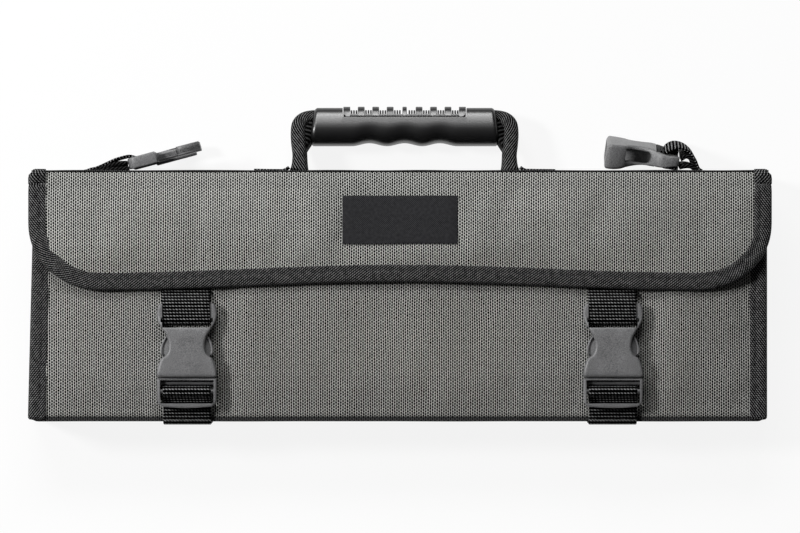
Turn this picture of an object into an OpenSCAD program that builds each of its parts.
// Knife case of woven nylon, lying on its back.
// X runs along the case, +Y points to the handle, +Z is the front with the flap and buckles.
// The origin is the centre of the flat back. All sizes are in millimetres.

/* [Case body] */
// Width of the case, side to side
case_w = 457; // [400:1:540]
// Height of the case, from the bottom wall to the spine
case_h = 154.8; // [140:0.2:190]
// Depth from the resting face to the face of the front panel
case_d = 44; // [42:1:60]
// Radius of the body's upright corners
corner_r = 5; // [4:0.5:10]
// Thickness of one layer of outer fabric
fabric_t = 1.6; // [1.2:0.1:2]
// Thickness of a stiffening board
board_t = 1.6; // [1:0.1:2.4]
// Thickness of the padded lining of the body
lining_t = 2.4; // [1.6:0.1:3.2]
// Thickness of the side, bottom and spine walls
wall_t = 3; // [2:0.1:4]
// Gap between the front panel's top edge and the spine wall, the mouth of the case
mouth_gap = 26; // [20:1:40]
// Clearance between soft pieces that move apart
soft_gap = 0.4; // [0.3:0.05:0.6]

/* [Dividers] */
// Thickness of a padded divider
divider_t = 2.4; // [1.6:0.1:4]
// Distance from a divider's free edge to the front panel's top edge
divider_step = 12; // [6:1:30]

/* [Edge tape] */
// Thickness of the edge tape
tape_t = 1; // [0.8:0.1:1.4]
// Width of the edge tape on the face
tape_w = 11; // [8:0.5:13]
// Height of the tape on the back seam
back_tape_h = 8; // [5:0.5:12]

/* [Flap] */
// Reach of the flap's tape past each side of the case
flap_side = 3.5; // [1.5:0.5:5]
// Distance from the flap's hinge line to its lower edge beside the corners
flap_reach = 72; // [66:0.5:76]
// Rise of the lower edge at its middle
flap_bow = 5; // [2:0.5:7]
// Corner radius of the flap along X
flap_corner_x = 44; // [30:1:60]
// Corner radius of the flap along Y
flap_corner_y = 40; // [30:1:56]
// Thickness of the flap's lining
flap_lining_t = 1.6; // [1:0.1:2]
// Width of the plain label patch
label_w = 72; // [50:1:90]
// Height of the plain label patch
label_h = 30; // [20:1:34]
// Distance from the hinge line to the middle of the label patch
label_drop = 28; // [22:1:32]
// Thickness of the label patch
label_t = 0.8; // [0.5:0.1:1]

/* [Webbing] */
// Width of the webbing
web_w = 30; // [25:1:31]
// Thickness of the webbing
web_t = 1.6; // [1.2:0.1:1.8]
// Distance of each front strap from the middle
strap_x = 133; // [110:1:150]
// Length of the flap strap that is sewn under the flap
sewn_l = 24; // [16:1:30]
// Height of the webbing's lower edge over the resting face, on the spine and the bottom wall
web_z = 6; // [5:0.5:7]

/* [Buckles] */
// Width of a buckle
buckle_w = 37.3; // [36.8:0.1:40]
// Thickness of a buckle's socket
buckle_t = 11; // [10:0.5:12]
// Width across the socket's waist
waist_w = 22.6; // [21:0.2:24]
// Distance from the hinge line of the flap to the socket's mouth
mouth_drop = 126.5; // [124:0.1:128]
// Wall of the socket above and below the prongs
socket_wall = 2; // [1.6:0.1:2.2]
// Thickness of the socket's strap bar
bar_t = 3.4; // [3:0.1:3.6]
// Thickness of the ladder frame
frame_t = 7.4; // [7:0.1:7.6]
// Radius of the ladder frame's middle bar
rung_r = 1.5; // [1.3:0.1:1.6]
// Height of a prong, along the buckle's thickness
prong_t = 5.8; // [5:0.1:6]
// Running clearance between the buckle's halves
buckle_gap = 0.3; // [0.2:0.05:0.4]

/* [Handle] */
// Length of the grip on its near side
grip_l = 116; // [100:1:126]
// Size of the grip across, seen from the front
grip_w = 22.9; // [20:0.1:25]
// Depth of the grip, front to back
grip_d = 21; // [18:0.5:23]
// Distance from the spine webbing to the grip's near side
grip_off = 17.4; // [15:0.2:22]
// Offset of the handle from the middle of the case
handle_x = 2.9; // [-5:0.1:5]
// Height of the handle's swing line over the resting face
handle_z = 21; // [20:0.5:22]
// Droop of the resting handle in degrees
handle_droop = 17; // [12:1:18]
// Depth of a finger hollow
hollow_d = 1.7; // [1:0.1:2.5]
// Distance between finger hollows
hollow_pitch = 22.2; // [20:0.2:24]
// Half length of the grip's ribbed insert
insert_half = 38.8; // [36:0.2:40]
// Distance between the ribs of the insert
rib_pitch = 9.2; // [8.6:0.1:9.4]
// Width of a rib
rib_w = 4.4; // [3:0.1:5]
// Height of a rib over the insert's floor
rib_h = 2.3; // [1.5:0.1:3]
// Depth of the insert's body in the grip
insert_seat = 4; // [3:0.1:5]
// Width of the insert, front to back
insert_w = 12; // [8:0.5:13]
// Width of a handle leg at its foot
leg_foot_w = 11; // [9:0.5:13]
// Width of a handle leg at its middle
leg_w = 8; // [7:0.5:9]
// Depth of a handle leg, front to back
leg_d = 17; // [14:0.5:18]
// Half the distance between the outer faces of the legs
leg_out = 71.5; // [68:0.5:76]

/* [Shoulder tabs] */
// Distance from the left side of the case to the left tab's swing line
left_inset = 32.5; // [28:0.5:36]
// Distance from the right side of the case to the right tab's swing line
right_inset = 41.5; // [38:0.5:46]
// Distance along the case from the left tab's swing line to its buckle's middle bar
left_reach = 35.4; // [34:0.2:38]
// Distance along the case from the right tab's swing line to its socket's strap bar
right_reach = 16.6; // [16:0.2:18]
// Tilt of the left buckle half in degrees
left_tilt = 15; // [12:1:18]
// Tilt of the right buckle half in degrees
right_tilt = -8; // [-10:1:-6]
// Roll of the right buckle half about its own length in degrees
right_roll = 10; // [6:1:11]

/* [Hidden] */
$fn = 48;
half_w = case_w / 2;
half_h = case_h / 2;
// Radius of the walls' inner corners
inner_r = corner_r - wall_t > 0.5 ? corner_r - wall_t : 0.5;
// Heights of the layers of the body
board_z = fabric_t;
lining_z = board_z + board_t;
floor_z = lining_z + lining_t;
front_z = case_d - fabric_t;
front_board_z = front_z - board_t;
ceiling_z = front_board_z - lining_t;
// Number of padded dividers, each a node of its own
divider_count = 2;
// Heights of the layers of the flap
strap_z = case_d + soft_gap;
flap_z = strap_z + web_t + tape_t;
flap_board_z = flap_z + flap_lining_t;
flap_shell_z = flap_board_z + board_t;
flap_top_z = flap_shell_z + fabric_t;
// Flap hinge line, with the flap's rounded root around it
root_r = (flap_top_z - flap_z) / 2;
hinge_z = flap_z + root_r;
hinge_y = half_h + web_t - root_r;
// Inner edge of the front panel at the mouth
mouth_y = half_h - wall_t - mouth_gap;
// Shape of the flap
flap_w = case_w + 2 * flap_side;
flap_half = flap_w / 2 - tape_t;
flap_low_y = hinge_y - flap_reach + tape_t;
// Middle height of the webbing on the spine
web_mid_z = web_z + web_w / 2;
spine_face_y = half_h + web_t;
// Local sizes of a buckle: u across, v along it from the socket's mouth, w through its thickness
socket_half = buckle_w / 2;
slot_half = web_w / 2 + 0.4;
mouth_deep = 12;
prong_l = 28;
cavity_l = prong_l + 0.6;
slot_v = cavity_l + 2.6;
bar_v = slot_v + 5.8;
socket_l = bar_v + 9.2;
waist_half = waist_w / 2;
// Height of the strap bar's middle over the socket's lower face
bar_mid = bar_t / 2 + buckle_gap + web_t + 0.2;
bar_low = bar_mid - bar_t / 2;
bar_high = bar_mid + bar_t / 2;
frame_low = (buckle_t - frame_t) / 2;
frame_l = 18.7;
rung_v = -8.4;
frame_slot_v = -15.8;
frame_bend = 5;
prong_low = (buckle_t - prong_t) / 2;
prong_foot_u = 9;
// Place of the front buckles
mouth_line_y = hinge_y - mouth_drop;
socket_bar_y = mouth_line_y + bar_v;
rung_y = mouth_line_y + rung_v;
rung_z = strap_z + buckle_t / 2;
// Place of the handle, whose own Y starts at its swing line
handle_y = spine_face_y + 0.3;
grip_near = grip_off;
grip_far = grip_near + grip_w;
grip_mid = (grip_near + grip_far) / 2;
// Place of the shoulder halves
left_root_x = half_w - left_inset;
right_root_x = half_w - right_inset;
left_rung = [left_reach - left_root_x, spine_face_y + frame_t / 2 + 3.2];
right_bar = [right_root_x - right_reach, spine_face_y + 7.4];

// Unit vector along v
function unit(v) = v / norm(v);

// Normal of a path at its point i
function path_normal(p, i) =
    let (a = p[max(i - 1, 0)], b = p[min(i + 1, len(p) - 1)], d = unit(b - a)) [-d[1], d[0]];

// Outline of a strap of thickness t along a path
function strap_outline(p, t) = concat(
    [for (i = [0 : len(p) - 1]) p[i] + path_normal(p, i) * t / 2],
    [for (i = [len(p) - 1 : -1 : 0]) p[i] - path_normal(p, i) * t / 2]
);

// Points of an arc around c
function arc_points(c, r, a0, a1, n) = [
    for (i = [0 : n]) c + r * [cos(a0 + (a1 - a0) * i / n), sin(a0 + (a1 - a0) * i / n)]
];

// Points mirrored across the Y axis, in reverse order
function mirrored(p) = [for (i = [len(p) - 1 : -1 : 0]) [-p[i][0], p[i][1]]];

// Left half of the flap's edge, drawn in by d, from the hinge line to the middle of the lower edge
function flap_side(d) = let (
        rx = flap_corner_x - d,
        ry = flap_corner_y - d,
        cx = -flap_half + flap_corner_x,
        cy = flap_low_y + flap_corner_y,
        flat = -cx
    ) concat(
        [[-flap_half + d, hinge_y]],
        [for (i = [0 : 10]) [cx - rx * cos(9 * i), cy - ry * sin(9 * i)]],
        [for (i = [1 : 9]) [
            cx + flat * i / 9,
            flap_low_y + d + flap_bow * (0.5 - 0.5 * cos(180 * i / 9))
        ]]
    );

// Whole outline of the flap, drawn in by d
function flap_outline(d) = let (p = flap_side(d)) concat(p, mirrored([for (i = [0 : len(p) - 2]) p[i]]));

// Plate with rounded upright corners
module rounded_plate(w, h, r, t) {
    linear_extrude(t) {
        square([w - 2 * r, h], center = true);
        square([w, h - 2 * r], center = true);
        for (x = [-1, 1], y = [-1, 1]) {
            translate([x * (w / 2 - r), y * (h / 2 - r)]) circle(r);
        }
    }
}

// Extrusion across the case of an outline drawn in Y and Z
module across(w) {
    rotate([90, 0, 90]) linear_extrude(w, center = true) children();
}

// Ring of wall between two heights
module wall_ring(z0, z1) {
    translate([0, 0, z0]) difference() {
        rounded_plate(case_w, case_h, corner_r, z1 - z0);
        translate([0, 0, -1]) {
            rounded_plate(case_w - 2 * wall_t, case_h - 2 * wall_t, inner_r, z1 - z0 + 2);
        }
    }
}

// Body
module back_panel() color("#2a2b2d") rounded_plate(case_w, case_h, corner_r, fabric_t);

module inner_plate(z, t) {
    translate([0, 0, z]) rounded_plate(case_w - 2 * wall_t, case_h - 2 * wall_t, inner_r, t);
}

module back_board() color("#8a8378") inner_plate(board_z, board_t);

module back_lining() color("#3a3a3c") inner_plate(lining_z, lining_t);

module end_wall(side, z1) {
    intersection() {
        wall_ring(fabric_t, z1);
        translate([-half_w, side > 0 ? half_h - corner_r : -half_h, 0]) cube([case_w, corner_r, z1]);
    }
}

module spine_wall() color("#55554f") end_wall(1, hinge_z - root_r - soft_gap);

module bottom_wall() color("#55554f") end_wall(-1, front_z);

module gusset(side) {
    intersection() {
        wall_ring(fabric_t, front_z);
        translate([side > 0 ? 0 : -half_w, -half_h + corner_r, 0]) {
            cube([half_w, case_h - 2 * corner_r, front_z]);
        }
    }
}

module left_gusset() color("#202123") gusset(-1);

module right_gusset() color("#202123") gusset(1);

module below_mouth() {
    intersection() {
        children();
        translate([-half_w, -half_h, 0]) cube([case_w, half_h + mouth_y, case_d]);
    }
}

module front_panel() {
    color("#6b6b66") below_mouth() {
        translate([0, 0, front_z]) rounded_plate(case_w, case_h, corner_r, fabric_t);
    }
}

module front_board() color("#8a8378") below_mouth() inner_plate(front_board_z, board_t);

module front_lining() color("#3a3a3c") below_mouth() inner_plate(ceiling_z, lining_t);

module divider(i) {
    pitch = (ceiling_z - floor_z) / (divider_count + 1);
    z = floor_z + pitch * i - divider_t / 2;
    y0 = -half_h + wall_t;
    y1 = mouth_y - divider_step * (divider_count + 1 - i);
    translate([-half_w + wall_t, y0, z]) cube([case_w - 2 * wall_t, y1 - y0, divider_t]);
}

module lower_divider() color("#4a4a4c") divider(1);

module upper_divider() color("#4a4a4c") divider(2);

// Edge tapes
module back_tape(side) {
    x = side > 0 ? half_w : -half_w - tape_t;
    translate([x, -half_h + corner_r, 0]) cube([tape_t, case_h - 2 * corner_r, back_tape_h]);
}

module left_back_tape() color("#1b1b1d") back_tape(-1);

module right_back_tape() color("#1b1b1d") back_tape(1);

module front_tape(side) {
    y0 = -half_h + corner_r;
    x_face = side > 0 ? half_w - tape_w + tape_t : -half_w - tape_t;
    x_side = side > 0 ? half_w : -half_w - tape_t;
    translate([x_face, y0, case_d]) cube([tape_w, mouth_y - y0, tape_t]);
    translate([x_side, y0, case_d - back_tape_h]) cube([tape_t, mouth_y - y0, back_tape_h + tape_t / 2]);
}

module left_front_tape() color("#1b1b1d") front_tape(-1);

module right_front_tape() color("#1b1b1d") front_tape(1);

module front_top_tape() {
    color("#1b1b1d") translate([-half_w + wall_t, mouth_y, ceiling_z]) {
        cube([case_w - 2 * wall_t, tape_t, case_d - ceiling_z]);
    }
}

// Webbing sewn to the spine, between the two tabs and beside the handle's feet
module spine_webbing() {
    color("#141416") translate([-left_root_x, half_h, web_z]) {
        cube([left_root_x + right_root_x, web_t, web_w]);
    }
}

module handle_anchor(side) {
    x = handle_x + side * (leg_out + 2.5 + soft_gap + 10);
    translate([x - 10, spine_face_y, handle_z - web_w / 2 + 1]) cube([20, web_t, web_w - 2]);
}

module left_handle_anchor() color("#141416") handle_anchor(-1);

module right_handle_anchor() color("#141416") handle_anchor(1);

module strap_anchor(side) {
    translate([side * strap_x - web_w / 2, -half_h - web_t, web_z]) {
        cube([web_w, web_t, strap_z - soft_gap - web_z]);
    }
}

module left_strap_anchor() color("#141416") strap_anchor(-1);

module right_strap_anchor() color("#141416") strap_anchor(1);

// Flap
module flap_slab(d, z, t) {
    translate([0, 0, z]) linear_extrude(t) polygon(flap_outline(d));
}

module behind_root() {
    intersection() {
        children();
        translate([-flap_w, -half_h, 0]) cube([2 * flap_w, half_h + hinge_y - root_r, 2 * flap_top_z]);
    }
}

module flap_shell() {
    color("#7d7d78") {
        flap_slab(0, flap_shell_z, fabric_t);
        translate([0, hinge_y, hinge_z]) rotate([0, 90, 0]) {
            cylinder(r = root_r, h = 2 * flap_half, center = true);
        }
    }
}

module flap_board() color("#8a8378") behind_root() flap_slab(wall_t, flap_board_z, board_t);

module flap_lining() color("#3a3a3c") behind_root() flap_slab(0, flap_z, flap_lining_t);

module flap_tape() {
    start_y = half_h - corner_r - soft_gap;
    color("#1b1b1d") intersection() {
        difference() {
            flap_slab(-tape_t, flap_z - tape_t, flap_top_z - flap_z + 2 * tape_t);
            flap_slab(0, flap_z, flap_top_z - flap_z);
            flap_slab(tape_w - tape_t, 0, 2 * flap_top_z);
        }
        translate([-flap_w, -half_h, 0]) cube([2 * flap_w, half_h + start_y, 2 * flap_top_z]);
    }
}

module label_patch() {
    color("#26262a") translate([-label_w / 2, hinge_y - label_drop - label_h / 2, flap_top_z]) {
        cube([label_w, label_h, label_t]);
    }
}

// Flap strap: sewn under the flap, over the socket's bar, round it and back to itself
module flap_strap(side) {
    edge_y = flap_low_y - tape_t;
    sewn_y = flap_low_y + flap_bow + tape_w + 1;
    low_z = strap_z + web_t / 2 - 0.1;
    over_z = strap_z + bar_high + buckle_gap + web_t / 2;
    under_z = strap_z + bar_low - buckle_gap - web_t / 2;
    turn = [socket_bar_y + 0.9, (over_z + under_z) / 2];
    out_path = concat(
        [
            [sewn_y + sewn_l, flap_z - web_t / 2],
            [sewn_y, flap_z - web_t / 2],
            [sewn_y - 4, low_z],
            [edge_y - 1, low_z],
            [edge_y - 3, low_z + 1.4],
            [socket_bar_y + socket_l - bar_v + 0.9, over_z]
        ],
        arc_points(turn, (over_z - under_z) / 2, 90, 270, 10),
        [[socket_bar_y + socket_l - bar_v - 1, under_z]]
    );
    back_path = [[socket_bar_y + socket_l - bar_v - 1.5, under_z], [edge_y - 1.6, low_z + 0.1]];
    translate([side * strap_x, 0, 0]) {
        across(web_w) polygon(strap_outline(out_path, web_t));
        across(web_w) polygon(strap_outline(back_path, web_t));
    }
}

module left_flap_strap() color("#141416") flap_strap(-1);

module right_flap_strap() color("#141416") flap_strap(1);

// Buckles
// Edge of the socket in u and v, from its mouth to the end of its strap bar
socket_edge = [
    [socket_half - 1.2, 0],
    [socket_half, 1.4],
    [socket_half, 3.5],
    [socket_half - 2, mouth_deep - 1.5],
    [socket_half - 4.2, mouth_deep + 0.6],
    [waist_half + 1.2, mouth_deep + 1.8],
    [waist_half + 0.2, mouth_deep + 4],
    [waist_half, mouth_deep + 6.5],
    [waist_half, cavity_l - 7],
    [waist_half + 0.9, cavity_l - 3],
    [waist_half + 2.9, cavity_l + 0.4],
    [socket_half - 2.2, slot_v + 1.2],
    [socket_half - 0.5, bar_v - 1.2],
    [socket_half, bar_v + 3],
    [socket_half - 0.3, bar_v + 6.4],
    [socket_half - 1.6, socket_l - 0.8],
    [socket_half - 3.3, socket_l]
];

// Side view of the socket in v and w, thick at the mouth and thin at the strap bar
socket_profile = [
    [0, 0.5],
    [0.8, 0],
    [cavity_l - 3, 0],
    [slot_v, bar_low - 0.7],
    [bar_v, bar_low],
    [socket_l, bar_low],
    [socket_l, bar_high],
    [bar_v, bar_high],
    [slot_v, buckle_t - 2.6],
    [cavity_l - 2, buckle_t],
    [0.8, buckle_t],
    [0, buckle_t - 0.5]
];

module socket() {
    cavity_t = buckle_t - 2 * socket_wall;
    difference() {
        intersection() {
            linear_extrude(buckle_t) polygon(concat(socket_edge, mirrored(socket_edge)));
            across(buckle_w) polygon(socket_profile);
        }
        translate([-socket_half + 3.2, -1, socket_wall]) cube([buckle_w - 6.4, mouth_deep + 1.01, cavity_t]);
        translate([-buckle_w, mouth_deep, socket_wall]) cube([2 * buckle_w, cavity_l - mouth_deep, cavity_t]);
        translate([-slot_half, slot_v, -1]) cube([2 * slot_half, bar_v - slot_v, buckle_t + 2]);
    }
}

// Outer edge of the ladder frame in u and v, from its shoulder to the middle of its bowed end
frame_edge = concat(
    [[socket_half, 0]],
    arc_points([socket_half - 0.4 - frame_bend, -frame_l + frame_bend + 1], frame_bend, 0, -80, 8),
    [[0, -frame_l]]
);

module ladder_frame() {
    difference() {
        translate([0, 0, frame_low]) linear_extrude(frame_t) {
            polygon(concat(frame_edge, mirrored([for (i = [0 : len(frame_edge) - 2]) frame_edge[i]])));
        }
        translate([-slot_half, frame_slot_v, -1]) cube([2 * slot_half, -3.2 - frame_slot_v, buckle_t + 2]);
    }
    translate([0, rung_v, buckle_t / 2]) rotate([0, 90, 0]) {
        cylinder(r = rung_r, h = 2 * slot_half + 1, center = true);
    }
}

// Outline of the prong at +u: a slim arm, the catch that shows in the window, and the tip
prong_edge = [
    [prong_foot_u - 1.4, 0],
    [prong_foot_u - 0.4, 5],
    [waist_half - 1.1, mouth_deep + 1],
    [waist_half - 0.9, mouth_deep + 7],
    [waist_half - 1.7, prong_l - 3],
    [waist_half - 2.9, prong_l],
    [waist_half - 0.3, prong_l],
    [waist_half + 2.1, prong_l - 2.5],
    [waist_half + 4.3, prong_l - 6.5],
    [waist_half + 5.1, prong_l - 10],
    [waist_half + 5, prong_l - 13],
    [waist_half + 4.1, mouth_deep + 1],
    [waist_half + 1.7, mouth_deep + 0.8],
    [prong_foot_u + 2.6, 6],
    [prong_foot_u + 1.6, 0]
];

module prong(side) {
    translate([0, 0, prong_low]) linear_extrude(prong_t) {
        polygon(side > 0 ? prong_edge : mirrored(prong_edge));
    }
}

// Place of a front buckle
module at_front(side) {
    translate([side * strap_x, mouth_line_y, strap_z]) children();
}

// The ladder frame's half stands a running clearance off the socket's mouth
module at_front_male(side) {
    translate([0, -buckle_gap, 0]) at_front(side) children();
}

module left_socket() color("#3c3c3e") at_front(-1) socket();

module right_socket() color("#3c3c3e") at_front(1) socket();

module left_ladder_frame() color("#333335") at_front_male(-1) ladder_frame();

module right_ladder_frame() color("#333335") at_front_male(1) ladder_frame();

module left_outer_prong() color("#3a3a3c") at_front_male(-1) prong(-1);

module left_inner_prong() color("#3a3a3c") at_front_male(-1) prong(1);

module right_outer_prong() color("#3a3a3c") at_front_male(1) prong(1);

module right_inner_prong() color("#3a3a3c") at_front_male(1) prong(-1);

// Lower strap: from the bottom edge under the frame's end, over its rung and down through the slot
module lower_strap(side) {
    root = [-half_h - web_t / 2, strap_z + web_t / 2 - 0.1];
    slot_y = mouth_line_y - buckle_gap + frame_slot_v;
    rung = [rung_y - buckle_gap, rung_z];
    r = rung_r + 0.2 + web_t / 2;
    path = concat(
        [root, [slot_y + 0.7, root[1]], [slot_y + 2.6, root[1] + 1.4]],
        arc_points(rung, r, 160, 0, 8),
        [[rung[0] + r, rung[1] - 3.2]]
    );
    translate([side * strap_x, 0, 0]) {
        across(web_w) polygon(strap_outline(path, web_t));
        across(web_w) translate(root) circle(web_t / 2);
    }
}

module left_lower_strap() color("#141416") lower_strap(-1);

module right_lower_strap() color("#141416") lower_strap(1);

// Handle, drawn along its own Y and then drooped about its swing line
module at_handle() {
    translate([handle_x, handle_y, handle_z]) rotate([-handle_droop, 0, 0]) children();
}

// Middle part of the webbing inside the grip
core_y = grip_near + hollow_d + 2;
core_l = grip_far - rib_h - insert_seat - 0.8 - core_y;
core_d = 8;
leg_end = grip_l / 2 + 0.5;
leg_edge = [
    [leg_out + 2.5, -leg_d / 3],
    [leg_out + 2.5, 0],
    [leg_out, 5],
    [leg_out - 0.4, 12],
    [leg_out + 0.3, 24],
    [leg_out, grip_far - 10],
    [leg_out - 2, grip_far - 6.5],
    [leg_out - 6.5, grip_far - 4.5],
    [leg_end, grip_far - 3.5],
    [leg_end, grip_near + 4],
    [leg_out - leg_w - 2.6, grip_near + 2.6],
    [leg_out - leg_w - 0.6, grip_near - 1.6],
    [leg_out - leg_w - 0.2, 11],
    [leg_out - leg_w - 1.6, 5],
    [leg_out + 2.5 - leg_foot_w, 0],
    [leg_out + 2.5 - leg_foot_w, -leg_d / 3]
];

module handle_webbing() {
    color("#141416") difference() {
        at_handle() {
            for (s = [-1, 1]) {
                translate([0, 0, -leg_d / 2]) linear_extrude(leg_d) {
                    polygon(s > 0 ? leg_edge : mirrored(leg_edge));
                }
            }
            translate([-leg_end - 1, core_y, -core_d / 2]) cube([2 * leg_end + 2, core_l, core_d]);
        }
        translate([-case_w, handle_y - leg_d, 0]) cube([2 * case_w, leg_d, 3 * leg_d]);
    }
}

// Rounded section of the grip, extruded along it
module grip_section() {
    r = min(grip_w, grip_d) / 2 - 1.5;
    rotate([90, 0, 90]) linear_extrude(grip_l, center = true) translate([grip_mid, 0]) {
        square([grip_w - 2 * r, grip_d], center = true);
        square([grip_w, grip_d - 2 * r], center = true);
        for (y = [-1, 1], z = [-1, 1]) {
            translate([y * (grip_w / 2 - r), z * (grip_d / 2 - r)]) circle(r);
        }
    }
}

module grip_sleeve() {
    hollow_span = 1.5 * hollow_pitch;
    near_edge = [for (i = [-12 : 12]) [
        i * hollow_span / 12,
        grip_near + hollow_d * (0.5 + 0.5 * cos(360 * i * hollow_span / 12 / hollow_pitch))
    ]];
    outline = concat(
        [[-grip_l / 2, grip_near]],
        near_edge,
        [[grip_l / 2, grip_near], [grip_l / 2 - 2.5, grip_far], [-grip_l / 2 + 2.5, grip_far]]
    );
    color("#232325") at_handle() difference() {
        intersection() {
            grip_section();
            translate([0, 0, -grip_d]) linear_extrude(2 * grip_d) polygon(outline);
        }
        translate([-grip_l, core_y - 0.1, -core_d / 2 - 0.1]) cube([2 * grip_l, core_l + 0.2, core_d + 0.2]);
        translate([-insert_half, grip_far - rib_h - insert_seat, -insert_w / 2]) {
            cube([2 * insert_half, rib_h + insert_seat + 1, insert_w]);
        }
    }
}

module grip_insert() {
    color("#1a1a1c") at_handle() intersection() {
        grip_section();
        translate([0, 0, -insert_w / 2]) {
            translate([-insert_half, grip_far - rib_h - insert_seat, 0]) {
                cube([2 * insert_half, insert_seat, insert_w]);
            }
            for (i = [-4 : 4]) {
                w = i == 0 ? rib_w - 1.4 : rib_w;
                x = abs(i) == 4 ? sign(i) * (insert_half - w / 2) : i * rib_pitch;
                translate([x - w / 2, grip_far - rib_h - 1, 0]) cube([w, rib_h + 1, insert_w]);
            }
        }
    }
}

// Shoulder tabs
// Turn from a buckle's own axes: u to Z, v to X and w to Y
module on_edge(tilt) {
    rotate([0, 0, tilt]) rotate(a = 240, v = [1, 1, 1]) children();
}

// Point at v and w from a buckle's bar, turned by its tilt
function from_bar(c, tilt, p) = c + [
    p[0] * cos(tilt) - p[1] * sin(tilt),
    p[0] * sin(tilt) + p[1] * cos(tilt)
];

module at_shoulder_male() {
    translate([left_rung[0], left_rung[1], web_mid_z]) on_edge(left_tilt) {
        translate([0, -rung_v, -buckle_t / 2]) children();
    }
}

module shoulder_ladder_frame() color("#333335") at_shoulder_male() ladder_frame();

module shoulder_front_prong() color("#3a3a3c") at_shoulder_male() prong(1);

module shoulder_back_prong() color("#3a3a3c") at_shoulder_male() prong(-1);

module left_tab() {
    root = [-left_root_x, spine_face_y + 0.3 + web_t / 2];
    r = rung_r + 0.2 + web_t / 2;
    path = concat(
        [root, root + [4, 0], root + [9, 0.8]],
        [for (p = [[-17, 5.2], [-10, 5.3], [-6.8, 4.6], [-4.4, 3], [-3, 1.4]])
            from_bar(left_rung, left_tilt, p)],
        arc_points(left_rung, r, 188 + left_tilt, 300 + left_tilt, 5)
    );
    color("#141416") translate([0, 0, web_z]) {
        linear_extrude(web_w) polygon(strap_outline(path, web_t));
        linear_extrude(web_w) translate(root) circle(web_t / 2);
    }
}

module at_shoulder_socket() {
    translate([right_bar[0], right_bar[1], web_mid_z]) on_edge(right_tilt) rotate([0, right_roll, 0]) {
        translate([0, -(bar_v + socket_l) / 2, -bar_mid]) children();
    }
}

module shoulder_socket() color("#3c3c3e") at_shoulder_socket() socket();

// Strap that turns with the socket's roll: p holds v and w from the bar, roll the turn at each point
module rolled_strap(p, roll, t, w) {
    corners = [[-1, -1], [1, -1], [1, 1], [-1, 1]];
    rings = [for (i = [0 : len(p) - 1], c = corners)
        let (q = p[i] + path_normal(p, i) * c[0] * t / 2, u = c[1] * w / 2)
        [u * cos(roll[i]) + q[1] * sin(roll[i]), q[0], q[1] * cos(roll[i]) - u * sin(roll[i])]
    ];
    last = 4 * (len(p) - 1);
    sides = [for (i = [0 : len(p) - 2], k = [0 : 3], half = [0, 1])
        let (a = 4 * i + k, b = 4 * i + (k + 1) % 4)
        half == 0 ? [a, b, b + 4] : [a, b + 4, a + 4]
    ];
    ends = [[3, 2, 1], [3, 1, 0], [last, last + 1, last + 2], [last, last + 2, last + 3]];
    polyhedron(rings, concat(sides, ends), convexity = 8);
}

module right_tab() {
    bar_half = (socket_l - bar_v) / 2;
    r = bar_t / 2 + 0.5 + web_t / 2;
    p = concat(
        [[17, -2.6], [14.2, 3.2], [10.5, 7.4], [5.4, 9.6], [0, 9.2], [-4, 6.4]],
        arc_points([-bar_half + 0.9, 0], r, 115, 270, 6),
        [[bar_half, -r], [bar_half + 2, -r]]
    );
    roll = [for (i = [0 : len(p) - 1]) i < 6 ? right_roll * i / 5 : right_roll];
    color("#141416") translate([right_bar[0], right_bar[1], web_mid_z]) on_edge(right_tilt) {
        rolled_strap(p, roll, web_t, web_w);
    }
}

// One line draws each piece
back_panel();
back_board();
back_lining();
spine_wall();
bottom_wall();
left_gusset();
right_gusset();
front_panel();
front_board();
front_lining();
lower_divider();
upper_divider();
left_back_tape();
right_back_tape();
left_front_tape();
right_front_tape();
front_top_tape();
spine_webbing();
left_handle_anchor();
right_handle_anchor();
left_strap_anchor();
right_strap_anchor();
flap_shell();
flap_board();
flap_lining();
flap_tape();
label_patch();
left_flap_strap();
right_flap_strap();
left_socket();
right_socket();
left_lower_strap();
right_lower_strap();
left_ladder_frame();
right_ladder_frame();
left_outer_prong();
left_inner_prong();
right_outer_prong();
right_inner_prong();
handle_webbing();
grip_sleeve();
grip_insert();
left_tab();
shoulder_ladder_frame();
shoulder_front_prong();
shoulder_back_prong();
right_tab();
shoulder_socket();
